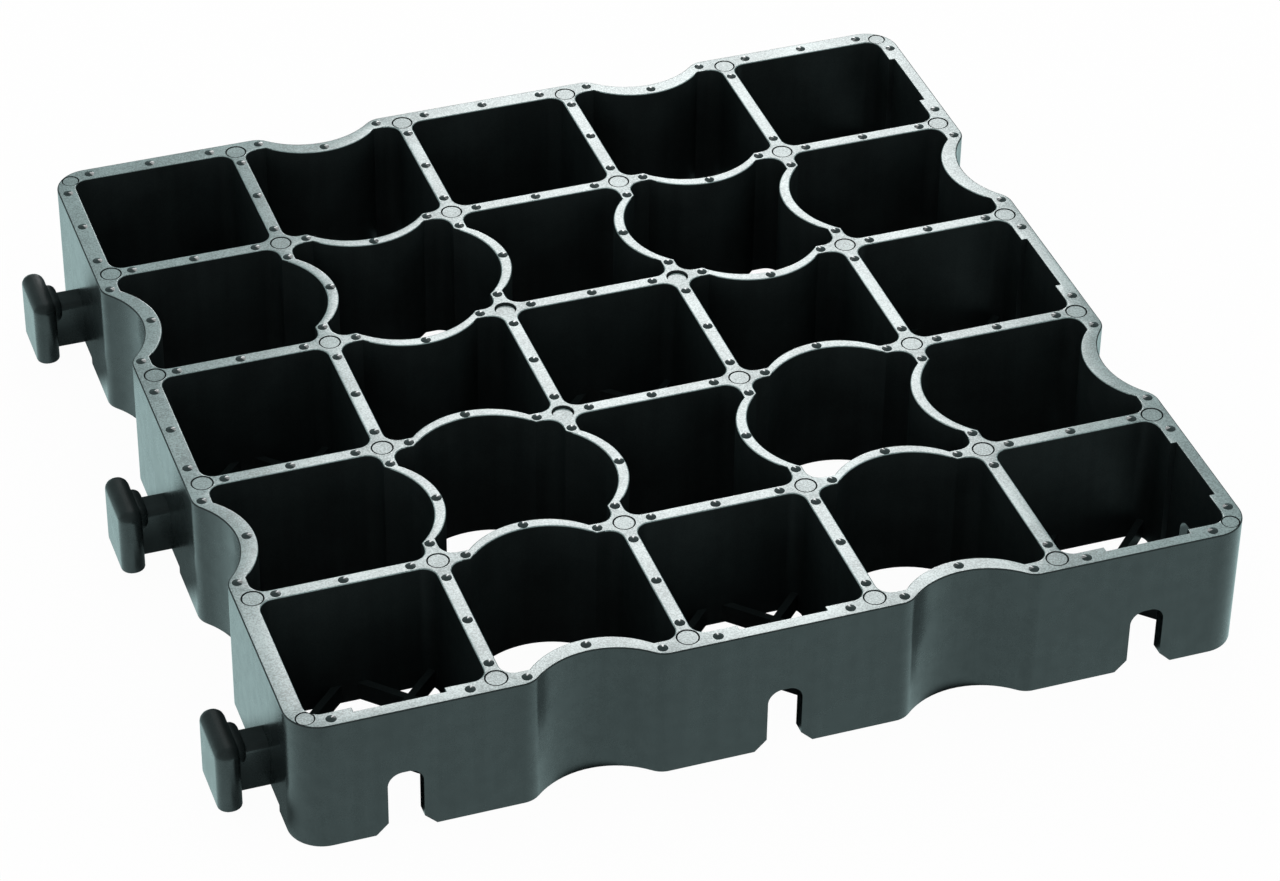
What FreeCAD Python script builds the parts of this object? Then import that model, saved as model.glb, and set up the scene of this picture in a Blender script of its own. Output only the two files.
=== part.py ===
import FreeCAD, Part
import os
import re
import Sketcher

# Grass paver grid: one moulded plastic tile of open cells, in millimetres.
# +Z is up, the foot of the walls lies on z = 0, the middle of the square is at x = y = 0.
# Lugs stand out on the -X and +Y sides, and slots for a neighbour's lugs are in the +X and -Y sides.

SIZES = {
    "tile_side": 330.0,
    "tile_height": 50.0,
    "web_wall": 5.0,
    "rim_wall": 6.8,
    "corner_round": 12.0,
    "cell_round": 5.0,
    "bow_radius": 29.0,
    "bow_rise": 9.3,
    "bow_wall": 4.1,
    "rim_bow_depth": 9.4,
    "shoulder_round": 8.0,
    "recess_width": 30.2,
    "recess_depth": 2.1,
    "slot_width": 12.0,
    "slot_height": 24.5,
    "slot_round": 5.0,
    "mouth_chamfer": 4.4,
    "lug_reach": 10.5,
    "stem_width": 11.0,
    "stem_high": 20.8,
    "head_wall": 8.4,
    "head_width": 25.8,
    "head_low": 1.6,
    "head_high": 26.3,
    "head_corner": 3.9,
    "head_rim_chamfer": 2.0,
    "collar_width": 15.0,
    "collar_wall": 3.0,
    "collar_low": 14.5,
    "collar_drop": 2.7,
    "notch_width": 31.0,
    "notch_height": 3.0,
    "brace_wall": 2.6,
    "brace_low": 1.0,
    "brace_high": 7.9,
    "strut_reach": 24.1,
    "overrun": 1.0,
}
FORMULAS = {
    "cell_side": "(tile_side - 2 * rim_wall - 4 * web_wall) / 5",
    "cell_half": "cell_side / 2",
    "pitch": "cell_side + web_wall",
    "tile_half": "tile_side / 2",
    "bulge": "bow_rise - bow_wall / 2 + web_wall / 2",
    "pinch": "bow_rise + bow_wall / 2 - web_wall / 2",
    "head_face": "tile_half + lug_reach",
    "collar_high": "head_high - collar_drop",
    "brace_lean": "brace_wall * sqrt(2) / 4",
    "strut_end": "strut_reach * sqrt(2) - pitch / 2",
}
STRAIGHT, BULGE, PINCH = "straight", "bulge", "pinch"
FRONT, RIGHT, BACK, LEFT = (0, -1), (1, 0), (0, 1), (-1, 0)
NEAR = 0.05

doc = FreeCAD.newDocument("grass_paver_grid")
sheet = doc.addObject("Spreadsheet::Sheet", "Sizes")
entries = {**{name: str(value) for name, value in SIZES.items()},
           **{name: f"={formula}" for name, formula in FORMULAS.items()}}
for row, (name, content) in enumerate(entries.items(), start=1):
    sheet.set(f"A{row}", name)
    sheet.set(f"B{row}", content)
    sheet.setAlias(f"B{row}", name)
doc.recompute()

body = doc.addObject("PartDesign::Body", "paver_grid")
body.Label = "paver_grid"
planes = {datum.Role: datum for datum in body.Origin.OriginFeatures}


def size(formula):
    """The value of a formula of the sheet's sizes, in millimetres."""
    return float(sheet.evalExpression(formula))


def bound(formula):
    """The same formula as an object outside the sheet writes it."""
    return re.sub(r"[a-z_]+", r"Sizes.\g<0>", formula)


def new_sketch(name, plane, height="0"):
    """A sketch on one of the body's own planes, lifted along its normal by a formula."""
    sketch = body.newObject("Sketcher::SketchObject", name)
    sketch.AttachmentSupport = [(planes[plane], "")]
    sketch.MapMode = "FlatFace"
    sketch.setExpression("AttachmentOffset.Base.z", bound(height))
    return sketch


def add_line(sketch, start, end):
    """A straight edge between two points."""
    return sketch.addGeometry(Part.LineSegment(FreeCAD.Vector(*start, 0), FreeCAD.Vector(*end, 0)))


def add_arc(sketch, start, middle, end):
    """A round edge through three points."""
    points = [FreeCAD.Vector(*point, 0) for point in (start, middle, end)]
    return sketch.addGeometry(Part.Arc(*points))


def near_end(sketch, edge, other):
    """Which end of an edge, 1 or 2, lies on the other edge's end."""
    others = [sketch.getPoint(other, end) for end in (1, 2)]
    gaps = {end: min((sketch.getPoint(edge, end) - point).Length for point in others) for end in (1, 2)}
    return min(gaps, key=gaps.get)


def join(sketch, edges, smooth=()):
    """Tie each edge to the next one, all the way round, smoothly at both ends of the named edges."""
    for edge, following in zip(edges, edges[1:] + edges[:1]):
        kind = "Tangent" if edge in smooth or following in smooth else "Coincident"
        ends = (edge, near_end(sketch, edge, following), following, near_end(sketch, following, edge))
        sketch.addConstraint(Sketcher.Constraint(kind, *ends))


def dimension(sketch, formula, kind, *places):
    """Add a dimension to a sketch and tie it to a formula of sizes."""
    index = sketch.addConstraint(Sketcher.Constraint(kind, *places, size(formula)))
    sketch.setExpression(f"Constraints[{index}]", bound(formula))


def add_feature(kind, name, sketch, length=None, **settings):
    """A pad or pocket of a sketch, as long as a formula says or right through."""
    made = body.newObject(f"PartDesign::{kind}", name)
    made.Profile = sketch
    if length:
        made.setExpression("Length", bound(length))
    else:
        made.Type = "ThroughAll"
    for key, value in settings.items():
        setattr(made, key, value)
    doc.recompute()
    return made


def repeat(name, originals, *moves):
    """Repeat features by one or more patterns, each applied to the result of the last."""
    pattern = body.newObject("PartDesign::MultiTransform", name)
    pattern.Originals = originals
    steps = []
    for number, (kind, settings, length) in enumerate(moves):
        step = doc.addObject(f"PartDesign::{kind}", f"{name}_{number}")
        body.addObject(step)
        for key, value in settings.items():
            setattr(step, key, value)
        if length:
            step.setExpression("Length", bound(length))
        steps.append(step)
    pattern.Transformations = steps
    body.Tip = pattern
    doc.recompute()
    return pattern


def turned(angle, count):
    """Copies round the middle of the tile."""
    return "PolarPattern", {"Axis": (planes["Z_Axis"], [""]), "Angle": angle, "Occurrences": count}, None


def in_row(axis, count=3):
    """Copies in a row along an axis, at every second cell."""
    return ("LinearPattern", {"Direction": (planes[axis], [""]), "Occurrences": count},
            f"{2 * count - 2} * pitch")


def mirrored(plane):
    """A mirror copy across a plane."""
    return "Mirrored", {"MirrorPlane": (planes[plane], [""])}, None


def add_rectangle(sketch, low_x, high_x, low_y, high_y):
    """A rectangle whose sides are tied to formulas of sizes."""
    x = [size(low_x), size(high_x)]
    y = [size(low_y), size(high_y)]
    corners = [(x[0], y[0]), (x[1], y[0]), (x[1], y[1]), (x[0], y[1])]
    edges = [add_line(sketch, start, end) for start, end in zip(corners, corners[1:] + corners[:1])]
    join(sketch, edges)
    for number, edge in enumerate(edges):
        sketch.addConstraint(Sketcher.Constraint("Vertical" if number % 2 else "Horizontal", edge))
    dimension(sketch, low_x, "DistanceX", -1, 1, edges[3], 1)
    dimension(sketch, high_x, "DistanceX", -1, 1, edges[1], 1)
    dimension(sketch, low_y, "DistanceY", -1, 1, edges[0], 1)
    dimension(sketch, high_y, "DistanceY", -1, 1, edges[2], 1)
    return edges


def cell_point(column, row, way, along, out):
    """A point beside a cell's side: along it counter-clockwise from its middle, and out from it."""
    ahead = (-way[1], way[0])
    return tuple(place * size("pitch") + ahead[axis] * along + way[axis] * (size("cell_half") + out)
                 for axis, place in enumerate((column, row)))


def side_edges(sketch, column, row, way, kind):
    """One side of a cell between its rounded corners: straight, or a bow between two stubs."""
    end = size("cell_half - cell_round")
    places = [(-end, 0), (end, 0)]
    if kind != STRAIGHT:
        radius, depth = size("bow_radius"), size(kind)
        reach = (radius ** 2 - (radius - depth) ** 2) ** 0.5
        places[1:1] = [(-reach, 0), (0, depth if kind == BULGE else -depth), (reach, 0)]
    points = [cell_point(column, row, way, *place) for place in places]
    if kind == STRAIGHT:
        return [add_line(sketch, *points)]
    return [add_line(sketch, *points[:2]), add_arc(sketch, *points[1:4]), add_line(sketch, *points[3:])]


def corner_edge(sketch, column, row, way):
    """The rounded corner after a cell's side."""
    half, bend = size("cell_half"), size("cell_round")
    lean = bend * (1 - 0.5 ** 0.5)
    places = ((half - bend, 0), (half - lean, -lean), (half, -bend))
    return add_arc(sketch, *(cell_point(column, row, way, *place) for place in places))


def fix_side(sketch, edges, column, row, way, kind):
    """Tie one side of a cell to the sizes: where it lies, and its bow's radius and middle."""
    upright = way[0] != 0
    across, along = ("DistanceX", "DistanceY") if upright else ("DistanceY", "DistanceX")
    place, middle = (column, row) if upright else (row, column)
    sign = sum(way)
    side = f"({place}) * pitch + ({sign}) * cell_half"
    sketch.addConstraint(Sketcher.Constraint("Vertical" if upright else "Horizontal", edges[0]))
    dimension(sketch, side, across, -1, 1, edges[0], 1)
    if kind == STRAIGHT:
        return
    bow = edges[1]
    rise = sign if kind == BULGE else -sign
    sketch.addConstraint(Sketcher.Constraint("Tangent", edges[0], edges[2]))
    dimension(sketch, "bow_radius", "Radius", bow)
    dimension(sketch, f"({middle}) * pitch", along, -1, 1, bow, 3)
    dimension(sketch, f"{side} + ({rise}) * ( {kind} - bow_radius )", across, -1, 1, bow, 3)


def cut_cell(name, column, row, bows, *moves):
    """Cut one cell right through from the top of the tile, and repeat it."""
    sketch = new_sketch(f"{name}_outline", "XY_Plane", "tile_height")
    sides, corners = {}, []
    for way in (FRONT, RIGHT, BACK, LEFT):
        sides[way] = side_edges(sketch, column, row, way, bows.get(way, STRAIGHT))
        corners.append(corner_edge(sketch, column, row, way))
    outline = []
    for side, corner in zip(sides.values(), corners):
        outline += side + [corner]
    join(sketch, outline, smooth=corners)
    for way, side in sides.items():
        fix_side(sketch, side, column, row, way, bows.get(way, STRAIGHT))
    for corner in corners:
        dimension(sketch, "cell_round", "Radius", corner)
    return repeat(f"{name}_set", [add_feature("Pocket", name, sketch)], *moves)


def upright_edges(shape, wanted):
    """Names of the vertical edges that the test accepts by their place in plan."""
    names = []
    for number, edge in enumerate(shape.Edges, start=1):
        box = edge.BoundBox
        if max(box.XLength, box.YLength) < NEAR and wanted(box.Center.x, box.Center.y):
            names.append(f"Edge{number}")
    return names


def level_edges(shape, height):
    """Names of the edges that lie at a height."""
    names = []
    for number, edge in enumerate(shape.Edges, start=1):
        box = edge.BoundBox
        if box.ZLength < NEAR and abs(box.Center.z - height) < NEAR:
            names.append(f"Edge{number}")
    return names


def dress_edges(kind, name, base, names, formula):
    """Fillet or chamfer the named edges of a feature."""
    dressing = body.newObject(f"PartDesign::{kind}", name)
    dressing.Base = (base, names)
    dressing.setExpression({"Fillet": "Radius", "Chamfer": "Size"}[kind], bound(formula))
    doc.recompute()
    return dressing


# The blank: a square block with the rim's bows cut into it.
blank_outline = new_sketch("blank_outline", "XY_Plane")
add_rectangle(blank_outline, "-tile_half", "tile_half", "-tile_half", "tile_half")
blank = add_feature("Pad", "blank", blank_outline, "tile_height")

rim_bow_circle = new_sketch("rim_bow_circle", "XY_Plane", "tile_height")
bow_centre = FreeCAD.Vector(size("pitch"), size("tile_half + bow_radius - rim_bow_depth"), 0)
circle = rim_bow_circle.addGeometry(Part.Circle(bow_centre, FreeCAD.Vector(0, 0, 1), size("bow_radius")))
dimension(rim_bow_circle, "bow_radius", "Radius", circle)
dimension(rim_bow_circle, "pitch", "DistanceX", -1, 1, circle, 3)
dimension(rim_bow_circle, "tile_half + bow_radius - rim_bow_depth", "DistanceY", -1, 1, circle, 3)
rim_bow = add_feature("Pocket", "rim_bow", rim_bow_circle)
rim_bows = repeat("rim_bows", [rim_bow], mirrored("YZ_Plane"), turned(360, 4))

# The rounded uprights: at the tile's corners and where the rim's bows begin.

def is_tile_corner(x, y):
    """Whether a place in plan is a corner of the tile."""
    return min(abs(x), abs(y)) > size("tile_half") - NEAR


def is_shoulder(x, y):
    """Whether a place in plan is on the tile's outer face, away from its corners."""
    along, out = sorted((abs(x), abs(y)))
    return along < size("pitch + bow_radius") and out > size("tile_half") - NEAR


rounded = rim_bows
for name, test, radius in (("shoulder_rounds", is_shoulder, "shoulder_round"),
                           ("corner_rounds", is_tile_corner, "corner_round")):
    rounded = dress_edges("Fillet", name, rounded, upright_edges(rounded.Shape, test), radius)

# Lugs on the left and back walls: a stem, a broad head across its end and a collar behind the head.
HEAD_MIDDLE = "-head_face - head_wall / 2"
LUG_BLOCKS = {
    "stem": (HEAD_MIDDLE, "-tile_half + rim_wall / 2", "stem_width", "notch_height", "stem_high"),
    "collar": (HEAD_MIDDLE, "-head_face + collar_wall", "collar_width", "collar_low", "collar_high"),
    "head": ("-head_face - head_wall", "-head_face", "head_width", "head_low", "head_high"),
}
lug_features = []
for name, (outer, inner, width, low, high) in LUG_BLOCKS.items():
    outline = new_sketch(f"{name}_outline", "XY_Plane", low)
    add_rectangle(outline, outer, inner, f"-2 * pitch - {width} / 2", f"-2 * pitch + {width} / 2")
    lug_features.append(add_feature("Pad", name, outline, f"{high} - {low}"))
lugs = repeat("lugs", lug_features, in_row("Y_Axis"), turned(270, 2))


def is_head_corner(x, y):
    """Whether a place in plan is an outer corner of a lug's head."""
    out, along = max(abs(x), abs(y)), min(abs(x), abs(y))
    from_middle = abs(along - size("2 * pitch") * round(along / size("2 * pitch")))
    return out > size("head_face") - NEAR and abs(from_middle - size("head_width / 2")) < NEAR


lugs = dress_edges("Fillet", "head_corners", lugs, upright_edges(lugs.Shape, is_head_corner), "head_corner")
dress_edges("Chamfer", "head_rims", lugs, level_edges(lugs.Shape, size("head_high")), "head_rim_chamfer")

# Slots for a neighbour's lugs, each in a thinned stretch of the front and right walls.
recess_outline = new_sketch("recess_outline", "XY_Plane", "tile_height")
add_rectangle(recess_outline, "-2 * pitch - recess_width / 2", "-2 * pitch + recess_width / 2",
              "-tile_half + rim_wall - recess_depth", "-tile_half + rim_wall + overrun")
recess = add_feature("Pocket", "recess", recess_outline)
repeat("recesses", [recess], in_row("X_Axis"), turned(90, 2))


def slot_edges(sketch):
    """The slot seen from outside: a chamfered mouth at the foot, upright sides and a rounded top."""
    middle = -2 * size("pitch")
    half, high, bend = size("slot_width / 2"), size("slot_height"), size("slot_round")
    chamfer = size("mouth_chamfer")
    lean = bend * (1 - 0.5 ** 0.5)
    left = [(middle - half - chamfer, 0), (middle - half, chamfer), (middle - half, high - bend),
            (middle - half + lean, high - lean), (middle - half + bend, high)]
    right = [(2 * middle - x, z) for x, z in left]
    return [add_line(sketch, left[0], left[1]), add_line(sketch, left[1], left[2]),
            add_arc(sketch, left[2], left[3], left[4]), add_line(sketch, left[4], right[4]),
            add_arc(sketch, right[4], right[3], right[2]), add_line(sketch, right[2], right[1]),
            add_line(sketch, right[1], right[0]), add_line(sketch, right[0], left[0])]


slot_outline = new_sketch("slot_outline", "XZ_Plane", "tile_half")
left_lip, left_side, left_bend, top, right_bend, right_side, right_lip, mouth = slot_edges(slot_outline)
join(slot_outline, [left_lip, left_side, left_bend, top, right_bend, right_side, right_lip, mouth],
     smooth=(left_bend, right_bend))
for edge in (top, mouth):
    slot_outline.addConstraint(Sketcher.Constraint("Horizontal", edge))
for edge in (left_side, right_side):
    slot_outline.addConstraint(Sketcher.Constraint("Vertical", edge))
for bend in (left_bend, right_bend):
    dimension(slot_outline, "slot_round", "Radius", bend)
dimension(slot_outline, "-2 * pitch - slot_width / 2", "DistanceX", -1, 1, left_side, 1)
dimension(slot_outline, "-2 * pitch + slot_width / 2", "DistanceX", -1, 1, right_side, 1)
dimension(slot_outline, "-2 * pitch - slot_width / 2 - mouth_chamfer", "DistanceX", -1, 1, left_lip, 1)
dimension(slot_outline, "-2 * pitch + slot_width / 2 + mouth_chamfer", "DistanceX", -1, 1, right_lip, 2)
dimension(slot_outline, "slot_height", "DistanceY", -1, 1, top, 1)
dimension(slot_outline, "0", "DistanceY", -1, 1, mouth, 1)
dimension(slot_outline, "mouth_chamfer", "DistanceY", -1, 1, left_lip, 2)
dimension(slot_outline, "mouth_chamfer", "DistanceY", -1, 1, right_lip, 1)
doc.recompute()
slot = add_feature("Pocket", "slot", slot_outline, "rim_wall + overrun")
repeat("slots", [slot], in_row("X_Axis"), turned(90, 2))

# The square cells, with braces in their foot: a cross, and struts that cut the corners off. Struts are
# left out beside a wall that a neighbour's lug comes through.
cut_cell("square_cell", -2, -2, {}, in_row("X_Axis"), in_row("Y_Axis"))


def add_brace(name, cell, corners, *moves):
    """A low bar or cross in the foot of a cell, from its corners beside the cell's middle."""
    sketch = new_sketch(f"{name}_outline", "XY_Plane", "brace_low")
    formulas = [[f"({place}) * pitch + ({part})" for place, part in zip(cell, corner)] for corner in corners]
    points = [tuple(size(formula) for formula in pair) for pair in formulas]
    edges = [add_line(sketch, start, end) for start, end in zip(points, points[1:] + points[:1])]
    join(sketch, edges)
    for edge, (across, along) in zip(edges, formulas):
        dimension(sketch, across, "DistanceX", -1, 1, edge, 1)
        dimension(sketch, along, "DistanceY", -1, 1, edge, 1)
    repeat(f"{name}_set", [add_feature("Pad", name, sketch, "brace_high - brace_low")], *moves)


def quarter_turn(corners):
    """The same corners a quarter turn further round, counter-clockwise."""
    return [(f"-({y})", x) for x, y in corners]


arm = [("cell_half + brace_lean", "cell_half - brace_lean"),
       ("cell_half - brace_lean", "cell_half + brace_lean"), ("0", "2 * brace_lean")]
strut = [("pitch / 2 + brace_lean", "strut_end + brace_lean"),
         ("strut_end + brace_lean", "pitch / 2 + brace_lean"),
         ("strut_end - brace_lean", "pitch / 2 - brace_lean"),
         ("pitch / 2 - brace_lean", "strut_end - brace_lean")]
STRUT_ROWS = {"back_right": (-2, 2, 3), "back_left": (-2, 3, 3), "front_left": (0, 3, 2),
              "front_right": (0, 2, 2)}
cross = []
for name, (row, columns, rows) in STRUT_ROWS.items():
    add_brace(f"{name}_strut", (-2, row), strut, in_row("X_Axis", columns), in_row("Y_Axis", rows))
    cross += arm
    arm, strut = quarter_turn(arm), quarter_turn(strut)
add_brace("cross", (-2, -2), cross, in_row("X_Axis"), in_row("Y_Axis"))

# The other cells: moons against the rim, pinched ones and the round-sided diagonal ones.
cut_cell("moon_cell", -1, 2, {BACK: PINCH, FRONT: BULGE}, mirrored("YZ_Plane"), turned(360, 4))
cut_cell("pinched_cell", 0, 1, {LEFT: PINCH, RIGHT: PINCH}, turned(360, 4))
cut_cell("diagonal_cell", -1, 1, {BACK: PINCH, FRONT: BULGE, LEFT: PINCH, RIGHT: BULGE},
         turned(360, 4))

# Notches in the wall's foot under the lugs.
notch_outline = new_sketch("notch_outline", "XY_Plane")
add_rectangle(notch_outline, "-tile_half - overrun", "-tile_half + rim_wall + overrun",
              "-2 * pitch - notch_width / 2", "-2 * pitch + notch_width / 2")
notch = add_feature("Pocket", "notch", notch_outline, "notch_height", Reversed=True)
repeat("notches", [notch], in_row("Y_Axis"), turned(270, 2))

failed = [item.Name for item in doc.Objects if "Invalid" in item.State or "Error" in item.State]
tile = body.Shape
if failed or tile.isNull() or not tile.isValid():
    raise RuntimeError(f"the tile did not build: {failed}")
print(f"paver_grid: {len(tile.Solids)} solid, {tile.Volume / 1000:.1f} cubic centimetres")
os.makedirs("parts", exist_ok=True)
tile.exportStep(f"parts/{body.Label}.step")
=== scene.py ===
import math

import bmesh
import bpy
from mathutils import Euler, Matrix, Vector


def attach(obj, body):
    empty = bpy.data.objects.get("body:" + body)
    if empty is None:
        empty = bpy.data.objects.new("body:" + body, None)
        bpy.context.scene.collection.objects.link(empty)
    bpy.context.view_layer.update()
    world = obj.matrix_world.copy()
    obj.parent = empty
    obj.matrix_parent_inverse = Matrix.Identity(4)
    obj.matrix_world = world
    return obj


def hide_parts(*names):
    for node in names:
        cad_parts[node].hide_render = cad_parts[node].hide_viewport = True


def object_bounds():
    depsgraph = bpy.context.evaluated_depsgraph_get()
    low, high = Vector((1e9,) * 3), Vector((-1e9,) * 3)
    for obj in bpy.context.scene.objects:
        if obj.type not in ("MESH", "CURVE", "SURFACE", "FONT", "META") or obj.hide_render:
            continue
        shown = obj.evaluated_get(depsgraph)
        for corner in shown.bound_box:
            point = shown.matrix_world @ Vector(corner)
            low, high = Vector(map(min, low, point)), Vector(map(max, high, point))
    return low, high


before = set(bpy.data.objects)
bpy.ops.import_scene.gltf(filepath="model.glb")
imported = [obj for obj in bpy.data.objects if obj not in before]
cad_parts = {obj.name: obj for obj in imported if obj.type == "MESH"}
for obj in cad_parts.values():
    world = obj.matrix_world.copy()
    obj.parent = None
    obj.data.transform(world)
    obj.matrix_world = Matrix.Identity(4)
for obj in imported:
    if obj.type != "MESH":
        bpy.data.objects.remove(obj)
cad_low, cad_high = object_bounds()

# Grass paver grid: one moulded tile of recycled plastic, with five by five open cells.
# Sizes are in millimetres and turn into metres where a mesh is written. The tile lies on z = 0 with its
# middle at x = y = 0. Lugs are on the -X and +Y sides, slots for a neighbour's lugs on +X and -Y.

MM = 0.001
# The least distance that is told from none.
HAIR = 0.01

TILE_HALF = cad_high.x / MM
TILE_HEIGHT = cad_high.z / MM
WEB_WALL = 5.0
RIM_WALL = 6.8
CORNER_ROUND = 12.0
CELL_ROUND = 5.0
BOW_RADIUS = 29.0
BOW_RISE = 9.3
BOW_WALL = 4.1
RIM_BOW_DEPTH = 9.4
SHOULDER_ROUND = 8.0
RECESS_WIDTH = 30.2
RECESS_DEPTH = 2.1
EDGE_ROUND = 0.45
EDGE_STEPS = 3

SLOT_WIDTH = 12.0
SLOT_HEIGHT = 24.5
SLOT_ROUND = 5.0
MOUTH_CHAMFER = 4.4
NOTCH_WIDTH = 31.0
NOTCH_HEIGHT = 3.0
BRACE_WALL = 2.6
BRACE_LOW = 1.0
BRACE_HIGH = 7.9
STRUT_REACH = 24.1

HEAD_WALL = 8.4
HEAD_FACE = -cad_low.x / MM - HEAD_WALL
HEAD_WIDTH = 25.8
HEAD_LOW = 1.6
HEAD_HIGH = 26.3
HEAD_CORNER = 3.9
HEAD_TOP_ROUND = 3.7
HEAD_FOOT_ROUND = 0.8
STEM_WIDTH = 11.0
STEM_HIGH = 20.8
STEM_CORNER = 0.8
STEM_ROUND = 2.4
COLLAR_WIDTH = 15.0
COLLAR_WALL = 3.0
COLLAR_LOW = 14.5
COLLAR_HIGH = 23.6
COLLAR_ROUND = 2.9
BLOCK_STEPS = 5
ROUND_PROFILE = 0.5

MARK_RADIUS = 3.75
MARK_DEPTH = 0.16
MARK_RING_DEPTH = 0.6
MARK_RING_WIDTH = 0.4
MARK_RING_LEAN = 0.1
MARK_LIMIT = 159.0
CORNER_MARK_SCALE = 0.83
DEEP_MARK_DEPTH = 1.0
MARK_LIP = 0.18
MARK_SIDES = 40
PIP_RADIUS = 1.8
PIP_HEIGHT = 0.48
PIP_TIP = 0.2
PIP_BLUNT = 0.03
PIP_FROM_NODE = 9.4
PIP_ROOT = 0.18
PIP_SIDES = 20

CELLS = 5
LAST = CELLS // 2
CELL_SIDE = (2 * TILE_HALF - 2 * RIM_WALL - (CELLS - 1) * WEB_WALL) / CELLS
CELL_HALF = CELL_SIDE / 2
PITCH = CELL_SIDE + WEB_WALL
BULGE = BOW_RISE - BOW_WALL / 2 + WEB_WALL / 2
PINCH = BOW_RISE + BOW_WALL / 2 - WEB_WALL / 2
# How far half of a diagonal brace's wall reaches along x.
BRACE_LEAN = BRACE_WALL / math.sqrt(8)
OVERRUN = 1.0
ARC_STEP = 5.0
SHARP_ANGLE = 35.0

FRONT, RIGHT, BACK, LEFT = (0, -1), (1, 0), (0, 1), (-1, 0)
WAYS = (FRONT, RIGHT, BACK, LEFT)
PLACES = range(-LAST, LAST + 1)
SQUARE_CELLS = [(column, row) for row in PLACES[::2] for column in PLACES[::2]]
# The nodes with a deeper mark, in pitches from the middle.
DEEP_NODES = ((-0.5, 0.5), (-0.5, -0.5), (0.5, 0.5))
# The cell whose left wall has no pips, and the place past which upright walls have none in their middle.
PLAIN_CELL = (-LAST, -LAST)
LAST_MIDDLE_PIP = 1


class Port:
    """A node's output socket. Python's operators on it add Math nodes to its tree."""

    def __init__(self, tree, socket):
        self.tree = tree
        self.socket = socket

    def out(self, name):
        """Another output of the same node."""
        return Port(self.tree, self.socket.node.outputs[name])

    def math(self, operation, *others):
        """A Math node on this value and others."""
        return math_node(self.tree, operation, self, *others)

    def __add__(self, other):
        return self.math("ADD", other)

    def __sub__(self, other):
        return self.math("SUBTRACT", other)

    def __rsub__(self, other):
        return math_node(self.tree, "SUBTRACT", other, self)

    def __mul__(self, other):
        return self.math("MULTIPLY", other)

    def __gt__(self, other):
        return self.math("GREATER_THAN", other)

    def __lt__(self, other):
        return self.math("LESS_THAN", other)

    def __abs__(self):
        return self.math("ABSOLUTE")

    __radd__ = __add__
    __rmul__ = __mul__


def add_node(tree, kind, settings=None, inputs=None, output=0):
    """A node with its settings made first, then its sockets set or linked, by name or number.

    A list of values goes into one socket that takes several links.
    """
    node = tree.nodes.new(kind)
    for key, value in (settings or {}).items():
        setattr(node, key, value)
    for key, value in (inputs or {}).items():
        for item in value if isinstance(value, list) else [value]:
            if isinstance(item, Port):
                tree.links.new(item.socket, node.inputs[key])
            else:
                node.inputs[key].default_value = item
    return Port(tree, node.outputs[output] if node.outputs else None)


def math_node(tree, operation, *values):
    """A Math node on values of which at least one is a socket."""
    return add_node(tree, "ShaderNodeMath", {"operation": operation}, dict(enumerate(values)))


def split(vector):
    """The three parts of a vector."""
    node = add_node(vector.tree, "ShaderNodeSeparateXYZ", None, {0: vector})
    return [node.out(name) for name in "XYZ"]


def new_object(name, data):
    """An object in the scene, at the origin."""
    made = bpy.data.objects.new(name, data)
    bpy.context.scene.collection.objects.link(made)
    return made


# The walls in plan.

def arc(centre, radius, start, end):
    """Points on a circle from one angle to another, in degrees, both ends included."""
    count = max(2, math.ceil(abs(end - start) / ARC_STEP))
    angles = [math.radians(start + (end - start) * number / count) for number in range(count + 1)]
    return [(centre[0] + radius * math.cos(angle), centre[1] + radius * math.sin(angle)) for angle in angles]


def wall_bow(column, row, way):
    """How a cell's side bows: 0 for straight, 1 for out of the cell, -1 for into it.

    Every wall beside an odd row or column bows towards the middle of the tile.
    """
    axis = 0 if way[0] else 1
    place, other = (column, row) if axis == 0 else (row, column)
    if other % 2 == 0:
        return 0
    wall = place + 0.5 * way[axis]
    return 1 if wall * way[axis] < 0 else -1


def has_recess(column, row, way):
    """Whether a cell's side is thinned for the lug of a neighbouring tile."""
    slotted = (way == FRONT and row == -LAST) or (way == RIGHT and column == LAST)
    return slotted and (column, row) in SQUARE_CELLS


def side_points(column, row, way):
    """One side of a cell, as points along it and out from it."""
    if has_recess(column, row, way):
        half = RECESS_WIDTH / 2
        return [(-half, 0), (-half, RECESS_DEPTH), (half, RECESS_DEPTH), (half, 0)]
    bow = wall_bow(column, row, way)
    if bow == 0:
        return []
    depth = BULGE if bow > 0 else PINCH
    lean = math.degrees(math.asin((BOW_RADIUS - depth) / BOW_RADIUS))
    centre = (0, bow * (depth - BOW_RADIUS))
    return arc(centre, BOW_RADIUS, bow * (180 - lean), bow * lean)


def turn_out(points, way, middle, reach):
    """Points along and out from one side of a square, in plan."""
    ahead = (-way[1], way[0])
    return [tuple(middle[axis] + ahead[axis] * along + way[axis] * (reach + out) for axis in (0, 1))
            for along, out in points]


def corner_points(half, radius):
    """The rounded corner after a square's side, as points along it and out from it."""
    return arc((half - radius, -radius), radius, 90, 0)


def cell_outline(column, row):
    """A cell's outline, clockwise, with the wall on its left hand."""
    outline = []
    for way in WAYS:
        side = side_points(column, row, way) + corner_points(CELL_HALF, CELL_ROUND)
        outline += turn_out(side, way, (column * PITCH, row * PITCH), CELL_HALF)
    return outline[::-1]


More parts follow.
